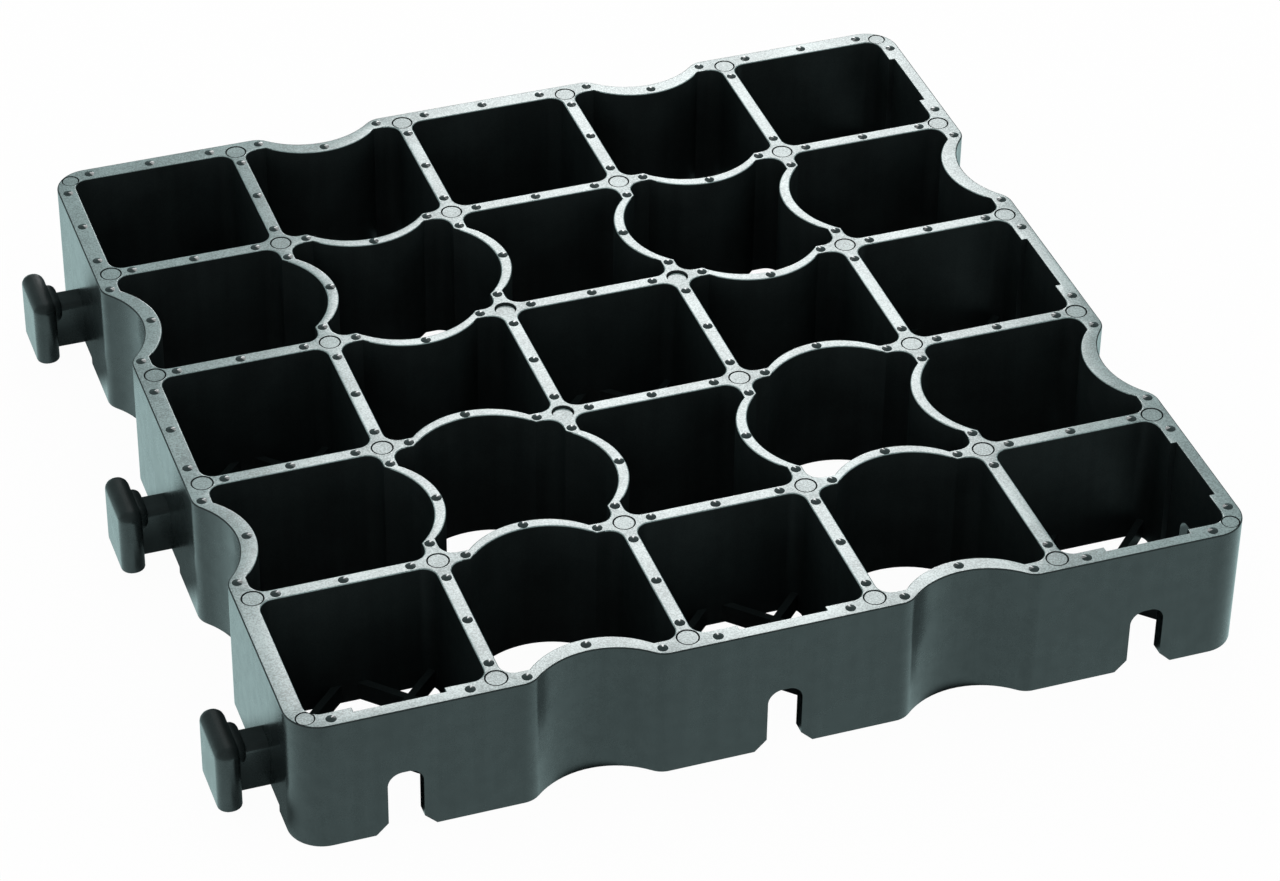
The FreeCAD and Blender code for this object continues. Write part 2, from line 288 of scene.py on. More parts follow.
def rim_bow(along):
    """A bow of the rim's outer face with the rounded shoulders on both sides of it."""
    rise = BOW_RADIUS - RIM_BOW_DEPTH
    shoulder = math.sqrt((BOW_RADIUS + SHOULDER_ROUND) ** 2 - (rise + SHOULDER_ROUND) ** 2)
    lean = math.degrees(math.atan2(rise + SHOULDER_ROUND, shoulder))
    return (arc((along - shoulder, -SHOULDER_ROUND), SHOULDER_ROUND, 90, lean)
            + arc((along, rise), BOW_RADIUS, 180 + lean, 360 - lean)[1:-1]
            + arc((along + shoulder, -SHOULDER_ROUND), SHOULDER_ROUND, 180 - lean, 90))


def tile_outline():
    """The tile's outer outline, counter-clockwise, with the wall on its left hand."""
    outline = []
    for way in WAYS:
        side = rim_bow(-PITCH) + rim_bow(PITCH) + corner_points(TILE_HALF, CORNER_ROUND)
        outline += turn_out(side, way, (0, 0), TILE_HALF)
    return outline


def add_runs(name, runs, closed):
    """A curve object with a run of points in plan for each of several lists."""
    curve = bpy.data.curves.new(name, "CURVE")
    curve.dimensions = "3D"
    for run in runs:
        spline = curve.splines.new("POLY")
        spline.points.add(len(run) - 1)
        spline.use_cyclic_u = closed
        for point, (x, y) in zip(spline.points, run):
            point.co = (x * MM, y * MM, 0, 1)
    return new_object(name, curve)


def edge_section():
    """The walls' section from the top face to the foot, as points out from the outline and down."""
    top = arc((-EDGE_ROUND, TILE_HEIGHT - EDGE_ROUND), EDGE_ROUND, 90, 0)
    foot = arc((-EDGE_ROUND, EDGE_ROUND), EDGE_ROUND, 0, -90)
    skip = (len(top) - 1) // EDGE_STEPS
    return [(out, -up) for out, up in top[::skip] + foot[::skip]]


# Blocks and cutters that the node tree repeats.

def new_mesh_object(name, shape):
    """An object with the mesh of a bmesh, which is freed."""
    mesh = bpy.data.meshes.new(name)
    bmesh.ops.recalc_face_normals(shape, faces=shape.faces)
    shape.to_mesh(mesh)
    shape.free()
    return new_object(name, mesh)


def round_edges(shape, edges, radius):
    """Round some edges of a bmesh."""
    bmesh.ops.bevel(shape, geom=edges, offset=radius * MM, segments=BLOCK_STEPS, profile=ROUND_PROFILE,
                    affect="EDGES")


def rounded_block(name, low, high, corner, top, foot):
    """A block with rounded uprights and rounded edges round its top and foot."""
    shape = bmesh.new()
    bmesh.ops.create_cube(shape, size=1)
    for vertex in shape.verts:
        vertex.co = [MM * (start + (share + 0.5) * (end - start))
                     for start, end, share in zip(low, high, vertex.co)]
    uprights = [edge for edge in shape.edges if abs(edge.verts[0].co.z - edge.verts[1].co.z) > MM]
    round_edges(shape, uprights, corner)
    for height, radius in ((high[2], top), (low[2], foot)):
        rim = [edge for edge in shape.edges
               if all(abs(vertex.co.z - height * MM) < HAIR * MM for vertex in edge.verts)]
        round_edges(shape, rim, radius)
    return new_mesh_object(name, shape)


def prism(name, outline, depth_low, depth_high, place):
    """A straight bar with the given outline. The place function puts a point and a depth in space."""
    shape = bmesh.new()
    rings = [[shape.verts.new(Vector(place(point, depth)) * MM) for point in outline]
             for depth in (depth_low, depth_high)]
    shape.faces.new(rings[0])
    shape.faces.new(rings[1][::-1])
    for number in range(len(outline)):
        following = (number + 1) % len(outline)
        shape.faces.new((rings[0][number], rings[1][number], rings[1][following], rings[0][following]))
    return new_mesh_object(name, shape)


def turned_shape(name, profile, count):
    """A closed round shape from a profile of radius and height, which starts and ends on the axis."""
    shape = bmesh.new()
    rings = []
    for radius, height in profile:
        angles = [2 * math.pi * number / count for number in range(count)] if radius else [0]
        rings.append([shape.verts.new((radius * math.cos(angle) * MM, radius * math.sin(angle) * MM,
                                       height * MM)) for angle in angles])
    for ring, after in zip(rings, rings[1:]):
        for number in range(count):
            following = (number + 1) % count
            corners = [ring[number % len(ring)], ring[following % len(ring)],
                       after[following % len(after)], after[number % len(after)]]
            shape.faces.new(list(dict.fromkeys(corners)))
    return new_mesh_object(name, shape)


def slot_cutter():
    """The slot in the front rim, at x = 0: a chamfered mouth, upright sides and a rounded top."""
    half = SLOT_WIDTH / 2
    right = [(half + MOUTH_CHAMFER + OVERRUN, -OVERRUN), (half, MOUTH_CHAMFER)]
    right += arc((half - SLOT_ROUND, SLOT_HEIGHT - SLOT_ROUND), SLOT_ROUND, 0, 90)
    outline = right + [(-x, z) for x, z in right[::-1]]
    return prism("slot_cutter", outline, TILE_HALF - RIM_WALL - OVERRUN, TILE_HALF + OVERRUN,
                 lambda point, depth: (point[0], -depth, point[1]))


def notch_cutter():
    """The notch under a lug, in the foot of the left rim at y = 0."""
    half = NOTCH_WIDTH / 2
    outline = [(-half, -OVERRUN), (half, -OVERRUN), (half, NOTCH_HEIGHT), (-half, NOTCH_HEIGHT)]
    return prism("notch_cutter", outline, TILE_HALF - RIM_WALL - OVERRUN, TILE_HALF + OVERRUN,
                 lambda point, depth: (-depth, point[0], point[1]))


def lug_blocks():
    """The stem, collar and head of the lug on the left rim at y = 0."""
    middle = HEAD_FACE + HEAD_WALL / 2
    inside = TILE_HALF - RIM_WALL / 2
    stem = rounded_block("lug_stem", (-middle, -STEM_WIDTH / 2, NOTCH_HEIGHT),
                         (-inside, STEM_WIDTH / 2, STEM_HIGH), STEM_CORNER, STEM_ROUND, STEM_CORNER)
    collar = rounded_block("lug_collar", (-middle, -COLLAR_WIDTH / 2, COLLAR_LOW),
                           (-HEAD_FACE + COLLAR_WALL, COLLAR_WIDTH / 2, COLLAR_HIGH),
                           COLLAR_ROUND, COLLAR_ROUND, COLLAR_ROUND)
    head = rounded_block("lug_head", (-HEAD_FACE - HEAD_WALL, -HEAD_WIDTH / 2, HEAD_LOW),
                         (-HEAD_FACE, HEAD_WIDTH / 2, HEAD_HIGH),
                         HEAD_CORNER, HEAD_TOP_ROUND, HEAD_FOOT_ROUND)
    return stem, collar, head


def brace(name, outline):
    """A brace with the given outline in plan."""
    return prism(name, outline, BRACE_LOW, BRACE_HIGH, lambda point, height: (*point, height))


def cross_brace():
    """The cross in the foot of a square cell, from corner to corner."""
    near, far = CELL_HALF - BRACE_LEAN, CELL_HALF + BRACE_LEAN
    arm = [(far, near), (near, far), (0, 2 * BRACE_LEAN)]
    outline = []
    for _ in WAYS:
        outline += arm
        arm = [(-y, x) for x, y in arm]
    return brace("cross_brace", outline)


def strut_brace():
    """The strut in the foot of a square cell that cuts its back right corner off."""
    far = PITCH / 2
    end = STRUT_REACH * math.sqrt(2) - far
    outline = [(far + BRACE_LEAN, end + BRACE_LEAN), (end + BRACE_LEAN, far + BRACE_LEAN),
               (end - BRACE_LEAN, far - BRACE_LEAN), (far - BRACE_LEAN, end - BRACE_LEAN)]
    return brace("strut_brace", outline)


def strut_places():
    """Places and quarter turns of the struts. None ends at a wall that a neighbour's lug comes through."""
    corners = ((BACK, RIGHT), (LEFT, BACK), (FRONT, LEFT), (RIGHT, FRONT))
    return [(column * PITCH, row * PITCH, turn)
            for column, row in SQUARE_CELLS for turn, sides in enumerate(corners)
            if not any(has_recess(column, row, way) for way in sides)]


def mark_cutter(name, depth):
    """The round mark of an ejector pin: a shallow floor with a deeper ring round it."""
    lip = MARK_RADIUS + MARK_LIP
    ring_floor = -depth - MARK_RING_DEPTH + MARK_DEPTH
    profile = [(0, OVERRUN), (lip, OVERRUN), (lip, 0), (MARK_RADIUS, -MARK_LIP),
               (MARK_RADIUS - MARK_RING_LEAN, ring_floor),
               (MARK_RADIUS - MARK_RING_WIDTH, -depth), (0, -depth)]
    return turned_shape(name, profile, MARK_SIDES)


def pip():
    """A small low cone with a blunt tip that stands on a wall's top face."""
    profile = [(0, PIP_HEIGHT), (PIP_TIP, PIP_HEIGHT - PIP_BLUNT), (PIP_RADIUS, 0), (PIP_RADIUS, -PIP_ROOT),
               (0, -PIP_ROOT)]
    return turned_shape("pip", profile, PIP_SIDES)


def wall_pips():
    """Places of the pips on the walls' top faces, with each wall between two cells taken once."""
    places = []
    for row in PLACES:
        for column in PLACES:
            for way in WAYS:
                axis = 0 if way[0] else 1
                on_rim = (column, row)[axis] == LAST * way[axis]
                if way in (FRONT, LEFT) or on_rim:
                    places += side_pips(column, row, way, on_rim)
    return places


def side_pips(column, row, way, on_rim):
    """The pips on the wall at one side of a cell: one near each end and, on most, one in the middle."""
    if way == LEFT and (column, row) == PLAIN_CELL:
        return []
    middle_line = RIM_WALL / 2 if on_rim else WEB_WALL / 2
    end = PITCH / 2 - PIP_FROM_NODE
    spots = [(-end, middle_line), (end, middle_line)]
    past_last = way in (LEFT, RIGHT) and column + 0.5 * way[0] > LAST_MIDDLE_PIP
    if not (past_last or has_recess(column, row, way)):
        spots.append((0, middle_line + BOW_RISE * wall_bow(column, row, way)))
    return turn_out(spots, way, (column * PITCH, row * PITCH), CELL_HALF)


def add_places(name, places, height=0.0):
    """A mesh of loose points at a height. A third number of a place counts its quarter turns."""
    mesh = bpy.data.meshes.new(name)
    mesh.from_pydata([(place[0] * MM, place[1] * MM, height * MM) for place in places], [], [])
    turns = mesh.attributes.new("turn", "FLOAT", "POINT")
    turns.data.foreach_set("value", [math.pi / 2 * sum(place[2:]) for place in places])
    return new_object(name, mesh)


# The node tree that makes the tile from its outlines.

# The share of the outermost nodes' distance past which a node is in a corner of the tile.
CORNER_SHARE = 0.99
# How far from a cell's skin a face still belongs to it.
ON_SKIN = 0.02
# How squarely a face has to look up, at most 1, to be dull, and to be a top face off or on a cell's skin.
DULL_FACING = 0.35
TOP_FACING_RIM = 0.98
TOP_FACING_CELL = 0.70


class TileTree:
    """The tile's node tree, with the steps that repeat in it."""

    def __init__(self, inputs):
        """A tree with a named input for each object and size."""
        self.tree = bpy.data.node_groups.new("moulded_grid", "GeometryNodeTree")
        for name, value in inputs.items():
            kind = "NodeSocketFloat" if isinstance(value, float) else "NodeSocketObject"
            self.tree.interface.new_socket(name, in_out="INPUT", socket_type=kind)
        self.tree.interface.new_socket("Geometry", in_out="OUTPUT", socket_type="NodeSocketGeometry")
        self.given = self.add("NodeGroupInput")
        self.position = self.add("GeometryNodeInputPosition")
        self.normal = self.add("GeometryNodeInputNormal")
        self.loops = self.add("GeometryNodeSetCurveNormal", {"mode": "Z_UP"},
                              {"Curve": self.shape("Outlines")})

    def add(self, kind, settings=None, inputs=None, output=0):
        """A node of this tree."""
        return add_node(self.tree, kind, settings, inputs, output)

    def size(self, name):
        """One of the sizes that the tree is given."""
        return self.given.out(name)

    def shape(self, name):
        """The geometry of one of the objects that the tree is given."""
        return self.add("GeometryNodeObjectInfo", None, {"Object": self.given.out(name)}, "Geometry")

    def vector(self, x=0.0, y=0.0, z=0.0):
        """A vector from its parts."""
        return self.add("ShaderNodeCombineXYZ", None, {"X": x, "Y": y, "Z": z})

    def joined(self, *shapes):
        """Shapes side by side, without a boolean."""
        return self.add("GeometryNodeJoinGeometry", None, {"Geometry": list(shapes)})

    def realized(self, shape):
        """Instances as real faces."""
        return self.add("GeometryNodeRealizeInstances", None, {"Geometry": shape})

    def swept(self, curve):
        """The walls' section along a curve."""
        return self.add("GeometryNodeCurveToMesh", None,
                        {"Curve": curve, "Profile Curve": self.shape("Section")})

    def on_points(self, points, shape, scale=1.0):
        """A shape on every point, turned as the point says and scaled in plan."""
        turn = self.add("GeometryNodeInputNamedAttribute", {"data_type": "FLOAT"}, {"Name": "turn"})
        return self.add("GeometryNodeInstanceOnPoints", None,
                        {"Points": points, "Instance": shape, "Rotation": self.vector(z=turn),
                         "Scale": self.vector(scale, scale, 1.0)}, "Instances")

    def copies(self, name):
        """A given shape at all of its places."""
        return self.realized(self.on_points(self.shape(f"{name} Places"), self.shape(name)))

    def on_two_sides(self, name, axis, angle):
        """A given shape at every second cell of a side along that axis, and on the side turned from it."""
        pitch = self.size("Pitch")
        line = self.add("GeometryNodeMeshLine", {"mode": "OFFSET"},
                        {"Count": len(PLACES[::2]), "Start Location": self.vector(**{axis: pitch * -LAST}),
                         "Offset": self.vector(**{axis: pitch * 2})})
        row = self.on_points(line, self.shape(name))
        turned = self.add("GeometryNodeTransform", None,
                          {"Geometry": row, "Rotation": Euler((0, 0, math.radians(angle)))})
        return self.realized(self.joined(row, turned))

    def boolean(self, operation, meshes):
        """A boolean of closed meshes."""
        return self.add("GeometryNodeMeshBoolean", {"operation": operation, "solver": "MANIFOLD"}, meshes)

    def union(self, *shapes):
        """Shapes made one."""
        return self.boolean("UNION", {"Mesh 2": list(shapes)})

    def cut(self, base, *cutters):
        """A shape with others taken out of it."""
        return self.boolean("DIFFERENCE", {"Mesh 1": base, "Mesh 2": list(cutters)})

    def finished(self, shape, material, where=True):
        """A shape with a finish on some of its faces, or on all."""
        return self.add("GeometryNodeSetMaterial", None,
                        {"Geometry": shape, "Selection": where, "Material": material})


def plain_walls(steps):
    """The walls: their section swept along the outlines, with the top and the foot filled."""
    inset = steps.add("ShaderNodeVectorMath", {"operation": "SCALE"},
                      {0: steps.normal, "Scale": steps.size("Edge Round") * -1.0})
    shrunk = steps.add("GeometryNodeSetPosition", None, {"Geometry": steps.loops, "Offset": inset})
    filled = steps.add("GeometryNodeFillCurve", {"mode": "TRIANGLES"}, {"Curve": shrunk})
    top = steps.add("GeometryNodeTransform", None,
                    {"Geometry": filled, "Translation": steps.vector(z=steps.size("Height"))})
    foot = steps.add("GeometryNodeFlipFaces", None, {"Mesh": filled})
    return steps.add("GeometryNodeMergeByDistance", None,
                     {"Geometry": steps.joined(steps.swept(steps.loops), top, foot), "Distance": HAIR * MM})


def with_fittings(steps, walls):
    """The walls with braces in the square cells, notches and slots in the rim, and lugs on it."""
    braces = [steps.copies(name) for name in ("Cross", "Strut")]
    cuts = [steps.on_two_sides("Notch", "y", -90), steps.on_two_sides("Slot", "x", 90)]
    lugs = [steps.on_two_sides(name, "y", -90) for name in ("Stem", "Collar", "Head")]
    return steps.union(steps.cut(steps.union(walls, *braces), *cuts), *lugs)


def with_relief(steps, body):
    """The body with a round mark on every node of the lattice, some of them deeper, and with pips."""
    side, limit = steps.size("Pitch") * CELLS, steps.size("Mark Limit")
    lattice = steps.add("GeometryNodeMeshGrid", None, {"Size X": side, "Size Y": side,
                                                       "Vertices X": CELLS + 1, "Vertices Y": CELLS + 1})
    place = steps.position
    for operation, bound in (("MINIMUM", limit), ("MAXIMUM", limit * -1.0)):
        place = steps.add("ShaderNodeVectorMath", {"operation": operation},
                          {0: place, 1: steps.vector(bound, bound, bound)})
    nodes = steps.add("GeometryNodeSetPosition", None,
                      {"Geometry": lattice, "Position": place,
                       "Offset": steps.vector(z=steps.size("Height"))})
    x, y, _ = split(steps.position)
    in_corner = abs(x).math("MINIMUM", abs(y)) > limit * CORNER_SHARE
    scale = 1 - (1 - CORNER_MARK_SCALE) * in_corner
    body = steps.cut(body, steps.realized(steps.on_points(nodes, steps.shape("Mark"), scale)))
    body = steps.cut(body, steps.copies("Deep Mark"))
    return steps.union(body, steps.copies("Pip"))


def with_finishes(steps, body, materials):
    """The body with the finishes of the walls, the cells, the top faces and the pips."""
    wall, cell, top, pips = materials
    outline_number = steps.add("GeometryNodeInputIndex")
    cell_loops = steps.add("GeometryNodeSeparateGeometry", {"domain": "CURVE"},
                           {"Geometry": steps.loops, "Selection": outline_number > 0})
    gap = steps.add("GeometryNodeProximity", None, {0: steps.swept(cell_loops)}, "Distance")
    in_cell = gap < ON_SKIN * MM
    height, facing = split(steps.position)[2], split(steps.normal)[2]
    tile_height = steps.size("Height")
    flat = facing > TOP_FACING_RIM - (TOP_FACING_RIM - TOP_FACING_CELL) * in_cell
    on_top = (height > tile_height - steps.size("Top Depth")) * flat
    body = steps.finished(steps.realized(body), wall)
    for where in (in_cell, facing > DULL_FACING, height < steps.size("Brace Height")):
        body = steps.finished(body, cell, where)
    body = steps.finished(body, top, on_top)
    return steps.finished(body, pips, height > tile_height + HAIR * MM)


def apply_modifiers(piece):
    """Put the result of a piece's modifiers into its mesh."""
    graph = bpy.context.evaluated_depsgraph_get()
    piece.data = bpy.data.meshes.new_from_object(piece.evaluated_get(graph))
    piece.modifiers.clear()


def sharpen_round(piece, finish):
    """Sharp edges round all that has a certain finish."""
    number = piece.data.materials.find(finish)
    shape = bmesh.new()
    shape.from_mesh(piece.data)
    for edge in shape.edges:
        if sum(face.material_index == number for face in edge.link_faces) == 1:
            edge.smooth = False
    shape.to_mesh(piece.data)
    shape.free()


def smooth_shading(piece):
    """Smooth round faces beside truly flat large ones."""
    piece.data.shade_smooth()
    piece.data.set_sharp_from_angle(angle=math.radians(SHARP_ANGLE))
    sharpen_round(piece, "pip")
    piece.modifiers.new("flat_faces", "WEIGHTED_NORMAL").keep_sharp = True
    apply_modifiers(piece)


def tile_inputs():
    """The outlines, blocks, cutters, places and sizes that the node tree works with."""
    cells = [cell_outline(column, row) for row in PLACES for column in PLACES]
    stem, collar, head = lug_blocks()
    return {
        "Outlines": add_runs("wall_outlines", [tile_outline(), *cells], True),
        "Section": add_runs("wall_section", [edge_section()], False),
        "Cross": cross_brace(),
        "Cross Places": add_places("cross_places", [(x * PITCH, y * PITCH) for x, y in SQUARE_CELLS]),
        "Strut": strut_brace(),
        "Strut Places": add_places("strut_places", strut_places()),
        "Slot": slot_cutter(),
        "Notch": notch_cutter(),
        "Stem": stem,
        "Collar": collar,
        "Head": head,
        "Mark": mark_cutter("mark_cutter", MARK_DEPTH),
        "Deep Mark": mark_cutter("deep_mark_cutter", DEEP_MARK_DEPTH),
        "Deep Mark Places": add_places("deep_mark_places", [(x * PITCH, y * PITCH) for x, y in DEEP_NODES],
                                       TILE_HEIGHT),
        "Pip": pip(),
        "Pip Places": add_places("pip_places", wall_pips(), TILE_HEIGHT),
        "Height": TILE_HEIGHT * MM,
        "Edge Round": EDGE_ROUND * MM,
        "Pitch": PITCH * MM,
        "Mark Limit": MARK_LIMIT * MM,
        "Top Depth": (DEEP_MARK_DEPTH + 2 * MARK_RING_DEPTH) * MM,
        "Brace Height": BRACE_HIGH * MM,
    }


def moulded_grid(materials):
    """The whole tile as one closed mesh."""
    inputs = tile_inputs()
    steps = TileTree(inputs)
    body = with_relief(steps, with_fittings(steps, plain_walls(steps)))
    steps.add("NodeGroupOutput", None, {"Geometry": with_finishes(steps, body, materials)})
    tile = new_object("moulded_grid", bpy.data.meshes.new("host"))
    nodes = tile.modifiers.new("moulded_grid", "NODES")
    nodes.node_group = steps.tree
    for item in steps.tree.interface.items_tree:
        if item.in_out == "INPUT":
            nodes[item.identifier] = inputs[item.name]
    apply_modifiers(tile)
    for item in inputs.values():
        if isinstance(item, bpy.types.Object):
            bpy.data.objects.remove(item)
    return tile


# Finishes.

def new_material(name):
    """A material's tree and its Principled shader."""
    material = bpy.data.materials.new(name)
    material.use_nodes = True
    return material, material.node_tree, material.node_tree.nodes["Principled BSDF"]


def link(value, node, name):
    """Feed one of a node's sockets."""
    value.tree.links.new(value.socket, node.inputs[name])


def object_place(tree, stretch=(1.0, 1.0, 1.0)):
    """The place on the piece in millimetres, drawn out where a stretch is under 1."""
    place = add_node(tree, "ShaderNodeTexCoord", None, None, "Object")
    scale = tuple(value / MM for value in stretch)
    return add_node(tree, "ShaderNodeMapping", None, {"Vector": place, "Scale": scale})


def noise(place, size, detail, roughness=0.5):
    """Cloudy values from 0 to 1, with patches of about the given size in millimetres."""
    return add_node(place.tree, "ShaderNodeTexNoise", None,
                    {"Vector": place, "Scale": 1 / size, "Detail": detail, "Roughness": roughness})


def weighted(weights, *values):
    """The sum of some values, each times its weight."""
    first, *rest = [value * weight for value, weight in zip(values, weights)]
    return sum(rest, first)


def smooth(value, low, high):
    """0 below one value and 1 above another, with a soft step between."""
    return add_node(value.tree, "ShaderNodeMapRange", {"interpolation_type": "SMOOTHSTEP"},
                    {"Value": value, "From Min": low, "From Max": high})


def mixed(factor, first, second):
    """A colour between two others. The Mix node's sockets go by number, because their names repeat."""
    return add_node(factor.tree, "ShaderNodeMix", {"data_type": "RGBA"},
                    {0: factor, 6: first, 7: second}, 2)


def grey(level, tint=(1.0, 1.0, 1.0)):
    """A colour of that level, tinted."""
    return (*(level * part for part in tint), 1.0)


def bump(height, depth):
    """A normal from a height between 0 and 1, which stands for so many millimetres."""
    return add_node(height.tree, "ShaderNodeBump", None, {"Height": height, "Distance": depth * MM})


PLASTIC_TINT = (0.66, 1.0, 1.02)
PLASTIC_DARK = 0.011
PLASTIC_LIGHT = 0.019
SATIN = 0.21
DULL = 0.45
WALL_SHEEN = 1.50
WALL_COAT = 1.45
PIP_SHEEN = 1.75
PIP_GLOSS = 0.12

# Patterns on the walls: the size of their patches in millimetres, their detail and their roughness.
WALL_CLOUDS = (22, 4)
WALL_BLOTCHES = (5, 3)
WALL_STREAKS = (3.5, 3)
WALL_GRAIN = (0.5, 3, 0.6)
STREAK_STRETCH = (1, 1, 0.05)
# How much each pattern counts, and the values between which the sum of them makes a soft step.
WALL_SHADE_SHARES = (0.6, 0.25, 0.15)
WALL_SHADE_STEP = (0.35, 0.65)
WALL_PATCH_SHARES = (0.28, 0.12, 0.6)
WALL_PATCH_STEP = (0.40, 0.60)
WALL_BUMP_SHARES = (0.15, 0.75)
WALL_BUMP = 0.035
# The coat where it is thinnest, and what the patches add to it.
WALL_PATCH_COAT = (0.02, 0.26)
# What the clouds and the grain add to the roughness.
CLOUD_ROUGHNESS = 0.08
GRAIN_ROUGHNESS = 0.04

# The flat top faces get a base colour far paler than the walls'.
TOP_TINT = (0.73, 1.0, 0.99)
TOP_DARK = 0.165
TOP_LIGHT = 0.415
TOP_IOR = 1.55
TOP_SHEEN = 2.6
TOP_GLOSS = 0.18
TOP_CLOUDS = (14, 3)
TOP_GRAIN = (0.6, 4, 0.65)
TOP_SPECKLE = (0.5, 2, 0.7)
SPECKLE_STEP = (0.56, 0.70)
TOP_SHADE_SHARES = (0.25, 0.75)
TOP_SHADE_STEP = (0.38, 0.62)
SPECKLE_SHADE = 0.6
MIDDLE_SHADE = 0.5
TOP_BUMP = 0.05
# The roughness where it is least, and what the grain adds to it.
TOP_ROUGHNESS = (0.30, 0.20)
# The distances from a node between which its greyer patch ends.
NODE_NEAR = 5.0
NODE_FAR = 13.0
# The coat at a node of the lattice, and what is added away from it and by the lighter shade.
NODE_COAT = 0.74
EVEN_COAT = 0.20
SHADE_COAT = 0.36
# What a speckle takes from the coat at a node, and how much less it takes elsewhere.
SPECKLE_COAT = 0.40
EVEN_SPECKLE_COAT = 0.10


def wall_finish(name, gloss, sheen=WALL_SHEEN):
    """Dark plastic: cloudy, with faint upright draw marks, a fine moulded grain and a patchy sheen."""
    material, tree, shader = new_material(name)
    place = object_place(tree)
    clouds = noise(place, *WALL_CLOUDS)
    blotches = noise(place, *WALL_BLOTCHES)
    streaks = noise(object_place(tree, STREAK_STRETCH), *WALL_STREAKS)
    grain = noise(place, *WALL_GRAIN)
    shade = smooth(weighted(WALL_SHADE_SHARES, clouds, streaks, grain), *WALL_SHADE_STEP)
    dark, light = grey(PLASTIC_DARK, PLASTIC_TINT), grey(PLASTIC_LIGHT, PLASTIC_TINT)
    patchy = smooth(weighted(WALL_PATCH_SHARES, blotches, streaks, grain), *WALL_PATCH_STEP)
    coat_low, coat_more = WALL_PATCH_COAT
    link(mixed(shade, dark, light), shader, "Base Color")
    link(gloss + CLOUD_ROUGHNESS * clouds + GRAIN_ROUGHNESS * grain, shader, "Roughness")
    link(coat_low + coat_more * patchy, shader, "Coat Weight")
    link(bump(weighted(WALL_BUMP_SHARES, grain, streaks), WALL_BUMP), shader, "Normal")
    shader.inputs["IOR"].default_value = sheen
    shader.inputs["Coat IOR"].default_value = WALL_COAT
    shader.inputs["Coat Roughness"].default_value = gloss
    return material


def top_finish():
    """The walls' top faces: a base far paler than the walls' under a speckled sheen, greyer round the nodes
    of the lattice.
    """
    material, tree, shader = new_material("pale_top")
    place = object_place(tree)
    clouds = noise(place, *TOP_CLOUDS)
    grain = noise(place, *TOP_GRAIN)
    speckle = smooth(noise(place, *TOP_SPECKLE), *SPECKLE_STEP)
    x, y, _ = split(place)
    across, along = [PITCH / 2 - side.math("PINGPONG", PITCH / 2) for side in (x, y)]
    from_node = (across * across + along * along).math("SQRT")
    even = smooth(from_node, NODE_NEAR, NODE_FAR)
    worn = smooth(weighted(TOP_SHADE_SHARES, clouds, grain), *TOP_SHADE_STEP)
    shade = worn * (1 - SPECKLE_SHADE * speckle)
    dark, light = grey(TOP_DARK, TOP_TINT), grey(TOP_LIGHT, TOP_TINT)
    rough_low, rough_more = TOP_ROUGHNESS
    coat = NODE_COAT + EVEN_COAT * even + SHADE_COAT * (shade - MIDDLE_SHADE)
    link(mixed(shade, dark, light), shader, "Base Color")
    link(rough_low + rough_more * grain, shader, "Roughness")
    link(coat - (SPECKLE_COAT - EVEN_SPECKLE_COAT * even) * speckle, shader, "Coat Weight")
    link(bump(grain, TOP_BUMP), shader, "Normal")
    shader.inputs["IOR"].default_value = TOP_IOR
    shader.inputs["Coat IOR"].default_value = TOP_SHEEN
    shader.inputs["Coat Roughness"].default_value = TOP_GLOSS
    return material


# Stage, light and camera, in metres and degrees, with the lens and its sensor in millimetres.

CAMERA_PLACE = Vector((-0.4097, -1.1643, 0.9383))
CAMERA_AIM = Vector((-0.0124, -0.0556, 0.0500))
CAMERA_ROLL = 0.9
LENS = 122.45
SENSOR = 36.0
FLOOR_HALF = 6.0
FLOOR_DROP = 0.0002
FLOOR_WHITE = 0.95
FLOOR_GLOW = 0.97
# Painted shade in the floor's reflections: dark under the tile, and dim on the floor round its lugs.
SHADE_NEAR = 0.1565
SHADE_FAR = 0.160
LUG_SHADE_OUT = (0.174, 0.184)
LUG_SHADE_ALONG = (0.020, 0.036)
LUG_SHADE = 0.85
COOL = (0.72, 1.0, 1.0, 1.0)
COOL_LEVEL = 1.07
WORLD_LEVEL = 0.70
GLOSSY_LEVEL = 0.35
TOP_PANEL = {"place": (0.499, 1.268, 0.94), "size": (1.18, 0.50), "tilt": 0, "turn": 66.5, "radiance": 2.7}
LOW_PANEL = {"place": (0.63, 1.79, 0.40), "size": (0.22, 0.70), "tilt": -90, "turn": -19.4, "radiance": 5.5}


def set_camera():
    """The camera at the photograph's viewing angle."""
    data = bpy.data.cameras.new("camera")
    data.lens = LENS
    data.sensor_width = SENSOR
    camera = new_object("camera", data)
    turn = (CAMERA_AIM - CAMERA_PLACE).to_track_quat("-Z", "Y").to_matrix().to_4x4()
    roll = Matrix.Rotation(math.radians(CAMERA_ROLL), 4, "Z")
    camera.matrix_world = Matrix.Translation(CAMERA_PLACE) @ turn @ roll
    bpy.context.scene.camera = camera


def painted_floor_shading(tree):
    """How light the floor is in the plastic's reflections, with painted shade: dark under the tile and dim
    under its lugs.
    """
    x, y, _ = split(add_node(tree, "ShaderNodeTexCoord", None, None, "Object"))
    light = smooth(abs(x).math("MAXIMUM", abs(y)), SHADE_NEAR, SHADE_FAR)
    for out, along in ((x * -1.0, y), (y, x)):
        from_lug = along.math("PINGPONG", PITCH * MM)
        near = (1 - smooth(out, *LUG_SHADE_OUT)) * (1 - smooth(from_lug, *LUG_SHADE_ALONG))
        light = light * (1 - LUG_SHADE * near * (out > SHADE_NEAR))
    return light


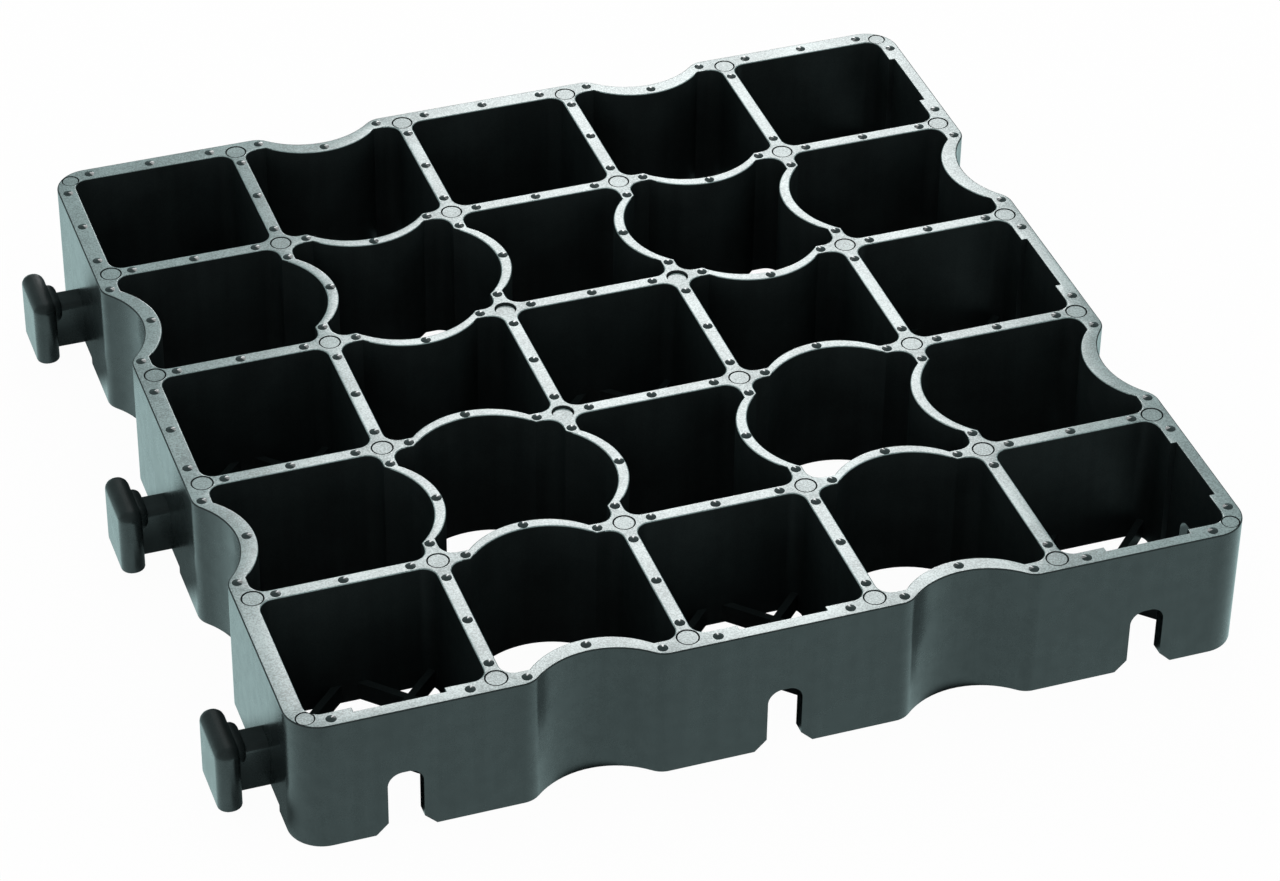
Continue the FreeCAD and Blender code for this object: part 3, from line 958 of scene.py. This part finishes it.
def floor_material():
    """White to the camera apart from a soft shadow, and a cool white in the plastic's reflections, with
    painted shade under the tile and its lugs.
    """
    material, tree, shader = new_material("pale_floor")
    rays = add_node(tree, "ShaderNodeLightPath", None, None, "Is Camera Ray")
    plain = add_node(tree, "ShaderNodeBsdfDiffuse", None, {"Color": grey(FLOOR_WHITE)})
    white = add_node(tree, "ShaderNodeEmission", None, {"Color": grey(1.0), "Strength": 1.0})
    # The cool white that the plastic reflects, with painted shade under the tile and its lugs.
    cool = add_node(tree, "ShaderNodeEmission", None,
                    {"Color": mixed(painted_floor_shading(tree), grey(0.0), COOL), "Strength": COOL_LEVEL})
    seen = add_node(tree, "ShaderNodeMixShader", None, {0: rays * FLOOR_GLOW, 1: plain, 2: white})
    mirrored = rays.out("Is Glossy Ray").math("MAXIMUM", rays.out("Is Transmission Ray"))
    shown = add_node(tree, "ShaderNodeMixShader", None, {0: mirrored, 1: seen, 2: cool})
    link(shown, tree.nodes["Material Output"], "Surface")
    tree.nodes.remove(shader)
    return material


def add_stage():
    """A plain pale floor."""
    shape = bmesh.new()
    bmesh.ops.create_grid(shape, x_segments=1, y_segments=1, size=FLOOR_HALF)
    floor = new_mesh_object("floor", shape)
    floor.location.z = -FLOOR_DROP
    floor.data.materials.append(floor_material())


def add_panel(name, place, size, tilt, turn, radiance):
    """A lamp with the brightness of its face given. It shines down, or to the front with a tilt of -90."""
    data = bpy.data.lights.new(name, "AREA")
    data.shape = "RECTANGLE"
    data.size, data.size_y = size
    data.energy = radiance * math.pi * size[0] * size[1]
    lamp = new_object(name, data)
    turns = Matrix.Rotation(math.radians(turn), 4, "Z") @ Matrix.Rotation(math.radians(tilt), 4, "X")
    lamp.matrix_world = Matrix.Translation(place) @ turns


def set_light():
    """An even room, a panel that the tile's top faces reflect, and a low one that glints on the pips."""
    world = bpy.data.worlds.new("studio")
    bpy.context.scene.world = world
    world.use_nodes = True
    background = world.node_tree.nodes["Background"]
    rays = add_node(world.node_tree, "ShaderNodeLightPath", None, None, "Is Camera Ray")
    glossy = rays.out("Is Glossy Ray")
    level = WORLD_LEVEL + rays * (1 - WORLD_LEVEL) - glossy * (WORLD_LEVEL - GLOSSY_LEVEL)
    link(level, background, "Strength")
    link(mixed(glossy, grey(1.0), COOL), background, "Color")
    add_panel("top_panel", **TOP_PANEL)
    add_panel("low_panel", **LOW_PANEL)


bpy.context.scene.view_settings.view_transform = "Standard"
tile = moulded_grid([wall_finish("moulded_wall", SATIN), wall_finish("cell_wall", DULL), top_finish(),
                     wall_finish("pip", PIP_GLOSS, PIP_SHEEN)])
smooth_shading(tile)
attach(tile, "root")
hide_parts("paver_grid")
add_stage()
set_light()
set_camera()
